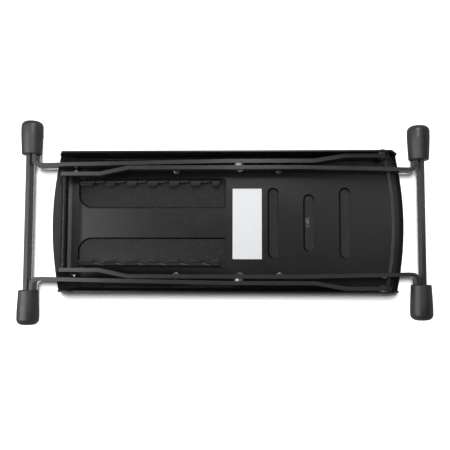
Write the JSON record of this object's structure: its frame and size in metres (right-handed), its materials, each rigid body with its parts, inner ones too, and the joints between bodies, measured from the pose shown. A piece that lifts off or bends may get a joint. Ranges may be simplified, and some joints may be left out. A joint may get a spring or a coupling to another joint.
{
  "type": "guitar footrest",
  "caption": "Folding guitar footrest of black sheet steel with a ribbed tread mat, scissor legs, a toothed height rack and rubber feet.",
  "frame": {"origin": "middle of the tread, on the tread's surface", "axes": "+Z out of the platform's underside towards the folded legs, as the object lies upside down on its tread; +X along the platform from its toothed end to its pivot end; +Y across it"},
  "size_m": [0.3188, 0.1594, 0.0242],
  "materials": {
    "black_steel": "satin powder coat",
    "tread_rubber": "matte, finely textured back",
    "foot_rubber": "matte moulded",
    "plated_steel": "zinc plated",
    "rod_steel": "blackened, worn where it meets the teeth",
    "sticker_paper": "smooth white"
  },
  "bodies": {
    "platform": {"platform_tray": "black_steel", "tread_mat": "tread_rubber", "label_sticker": "sticker_paper", "mat_eyelets_left": "plated_steel", "mat_eyelets_right": "plated_steel", "pivot_rivet_left": "plated_steel", "pivot_rivet_right": "plated_steel", "pivot_washer_left": "plated_steel", "pivot_washer_right": "plated_steel"},
    "outer_frame": {"outer_leg_frame": "black_steel", "outer_foot_left": "foot_rubber", "outer_foot_right": "foot_rubber", "scissor_rivet_left": "plated_steel", "scissor_rivet_right": "plated_steel", "scissor_spacer_left": "plated_steel", "scissor_spacer_right": "plated_steel"},
    "inner_frame": {"inner_leg_frame": "black_steel", "height_rod": "rod_steel", "inner_foot_left": "foot_rubber", "inner_foot_right": "foot_rubber"}
  },
  "joints": [
    {"name": "legs_unfold", "type": "hinge", "parent": "platform", "child": "outer_frame", "pos_m": [0.1197, 0, 0.0142], "axis": [0, 1, 0], "range_deg": [0, 65.3]},
    {"name": "legs_scissor", "type": "hinge", "parent": "outer_frame", "child": "inner_frame", "pos_m": [0.0093, 0, 0.0142], "axis": [0, 1, 0], "range_deg": [-113.3, 0]}
  ],
  "couplings": [
    {"joint": "legs_scissor", "follows": "legs_unfold", "ratio": -1.735}
  ]
}
